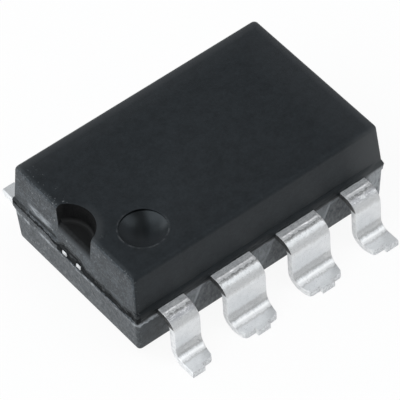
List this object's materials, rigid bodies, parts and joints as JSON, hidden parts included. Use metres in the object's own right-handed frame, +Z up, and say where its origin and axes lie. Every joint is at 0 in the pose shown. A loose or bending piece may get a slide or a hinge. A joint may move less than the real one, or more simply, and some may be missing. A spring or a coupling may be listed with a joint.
{
  "type": "surface-mount optocoupler",
  "caption": "Black moulded optocoupler with gull-wing tinned leads along both long sides, a half-round end notch and a round pin-one dimple.",
  "frame": {"origin": "centre of the footprint, on the plane that the feet stand on", "axes": "+X along the moulding from the notch end, +Y from the pin 1 to 4 side to the pin 5 to 8 side, +Z up from the board"},
  "size_m": [0.0098, 0.0096, 0.0036],
  "materials": {
    "black_epoxy": "matte black epoxy",
    "tinned_strip": "satin tin plate",
    "emitter": "polished chip",
    "detector": "polished chip",
    "chip_glue": "silver-filled glue",
    "gold_wire": "drawn gold",
    "clear_silicone": "clear silicone"
  },
  "bodies": {
    "root": {"moulded_body": "black_epoxy", "lead_1": "tinned_strip", "lead_2": "tinned_strip", "lead_3": "tinned_strip", "lead_4": "tinned_strip", "lead_5": "tinned_strip", "lead_6": "tinned_strip", "lead_7": "tinned_strip", "lead_8": "tinned_strip", "emitter_chip": "emitter", "emitter_glue": "chip_glue", "detector_chip": "detector", "detector_glue": "chip_glue", "emitter_wire": "gold_wire", "supply_wire": "gold_wire", "enable_wire": "gold_wire", "output_wire": "gold_wire", "light_guide": "clear_silicone"}
  },
  "joints": []
}
